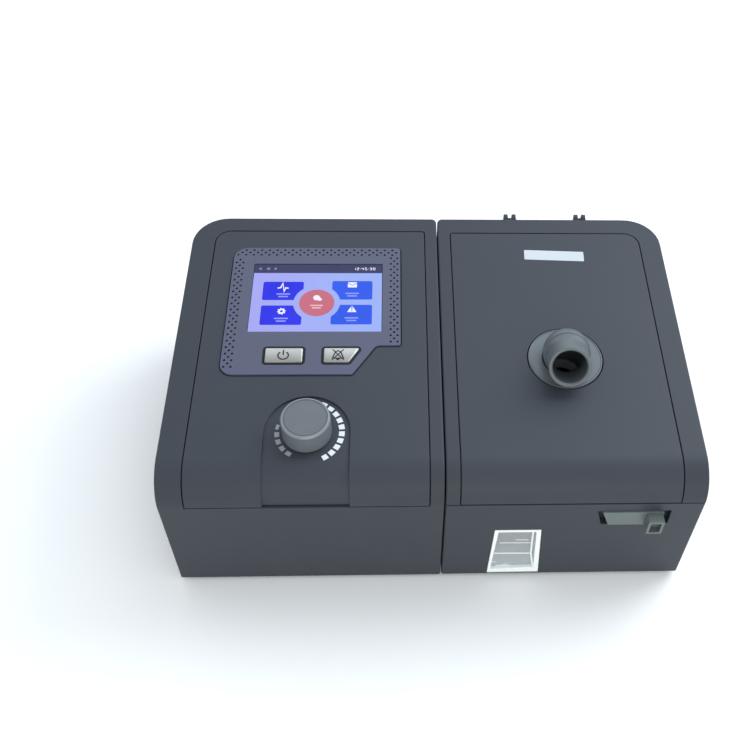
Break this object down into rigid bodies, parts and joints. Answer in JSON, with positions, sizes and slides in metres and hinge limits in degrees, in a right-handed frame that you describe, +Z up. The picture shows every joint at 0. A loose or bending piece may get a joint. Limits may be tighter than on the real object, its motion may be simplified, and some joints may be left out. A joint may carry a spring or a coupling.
{
  "type": "cpap machine",
  "caption": "Bedside positive airway pressure machine: a blower unit with screen, keys and control knob, docked to a heated humidifier with a hinged lid, latch and swivel outlet elbow.",
  "frame": {"origin": "the middle of the whole part's footprint, on the surface that its feet stand on", "axes": "+X from the blower unit to the humidifier, +Y from the front wall to the back, +Z up"},
  "size_m": [0.2784, 0.1962, 0.1207],
  "materials": {
    "shell": "fine moulded texture, dark blue grey",
    "dark": "fine moulded texture, near black",
    "bezel": "satin grey",
    "silver": "silver paint",
    "knob": "satin mid grey",
    "outlet": "satin mid grey",
    "latch": "satin mid grey",
    "black": "black",
    "glass": "clear, polished",
    "screen": "lit display face",
    "clear": "clear polycarbonate, polished",
    "rubber": "soft, matt",
    "foam": "open filter foam",
    "board": "green solder mask",
    "volute": "unpainted light grey moulding",
    "white": "unpainted white moulding",
    "steel": "plain steel",
    "heater": "plain aluminium",
    "brass": "plain brass"
  },
  "bodies": {
    "case": {"main_base": "shell", "main_housing": "shell", "control_panel": "shell", "screen_bezel": "bezel", "display_glass": "glass", "lcd_module": "screen", "display_bracket": "black", "front_board": "board", "board_screw_1": "steel", "board_screw_2": "steel", "board_screw_3": "steel", "board_screw_4": "steel", "power_switch": "black", "silence_switch": "black", "encoder_body": "steel", "volute_lower": "volute", "volute_upper": "volute", "motor_body": "steel", "blower_mount": "rubber", "blower_duct": "rubber", "port_seal": "rubber", "main_board": "board", "power_inlet": "black", "inlet_filter": "foam", "main_foot_1": "rubber", "main_foot_2": "rubber", "main_foot_3": "rubber", "main_foot_4": "rubber", "base_screw_1": "steel", "base_screw_2": "steel", "base_screw_3": "steel", "base_screw_4": "steel", "humidifier_base": "shell", "water_window": "clear", "heater_carrier": "black", "heater_plate": "heater", "tub_plate": "steel", "water_tub": "clear", "tub_gasket": "rubber", "hinge_pin_left": "steel", "hinge_pin_right": "steel", "humidifier_foot_1": "rubber", "humidifier_foot_2": "rubber", "humidifier_foot_3": "rubber", "humidifier_foot_4": "rubber"},
    "lid": {"lid_shell": "shell", "lid_panel": "shell", "lid_liner": "volute", "outlet_flange": "outlet"},
    "elbow": {"outlet_elbow": "outlet", "outlet_seal": "rubber"},
    "latch": {"latch_slider": "latch"},
    "knob_turner": {"encoder_rotor": "brass"},
    "knob": {"encoder_shaft": "steel", "knob_cap": "knob"},
    "power_key": {"power_button": "silver"},
    "silence_key": {"silence_button": "silver"},
    "filter_door": {"filter_cover": "dark"},
    "fan": {"impeller": "white", "motor_shaft": "steel"}
  },
  "joints": [
    {"name": "lid_hinge", "type": "hinge", "parent": "case", "child": "lid", "pos_m": [0.0725, 0.09585, 0.0945], "axis": [-1, 0, 0], "range_deg": [0, 100]},
    {"name": "outlet_swivel", "type": "hinge", "parent": "lid", "child": "elbow", "pos_m": [0.07355, -0.0126, 0.0945], "axis": [0, -0.0349, 0.9994], "continuous": true},
    {"name": "latch_slide", "type": "slide", "parent": "case", "child": "latch", "axis": [1, 0, 0], "range_m": [0, 0.003]},
    {"name": "knob_turn", "type": "hinge", "parent": "case", "child": "knob_turner", "pos_m": [-0.06175, -0.05857, 0.09289], "axis": [0, -0.0349, 0.9994], "continuous": true},
    {"name": "knob_push", "type": "slide", "parent": "knob_turner", "child": "knob", "axis": [0, 0.0349, -0.9994], "range_m": [0, 0.0006], "stiffness_N_per_m": 1500, "springref_m": -0.0004},
    {"name": "power_key_press", "type": "slide", "parent": "case", "child": "power_key", "axis": [0, 0.0349, -0.9994], "range_m": [0, 0.0008], "stiffness_N_per_m": 1000, "springref_m": -0.0004},
    {"name": "silence_key_press", "type": "slide", "parent": "case", "child": "silence_key", "axis": [0, 0.0349, -0.9994], "range_m": [0, 0.0008], "stiffness_N_per_m": 1000, "springref_m": -0.0004},
    {"name": "filter_cover_pull", "type": "slide", "parent": "case", "child": "filter_door", "axis": [-1, 0, 0], "range_m": [0, 0.012]},
    {"name": "impeller_spin", "type": "hinge", "parent": "case", "child": "fan", "pos_m": [-0.06275, 0.01135, 0.055], "axis": [0, 0, 1], "continuous": true}
  ]
}
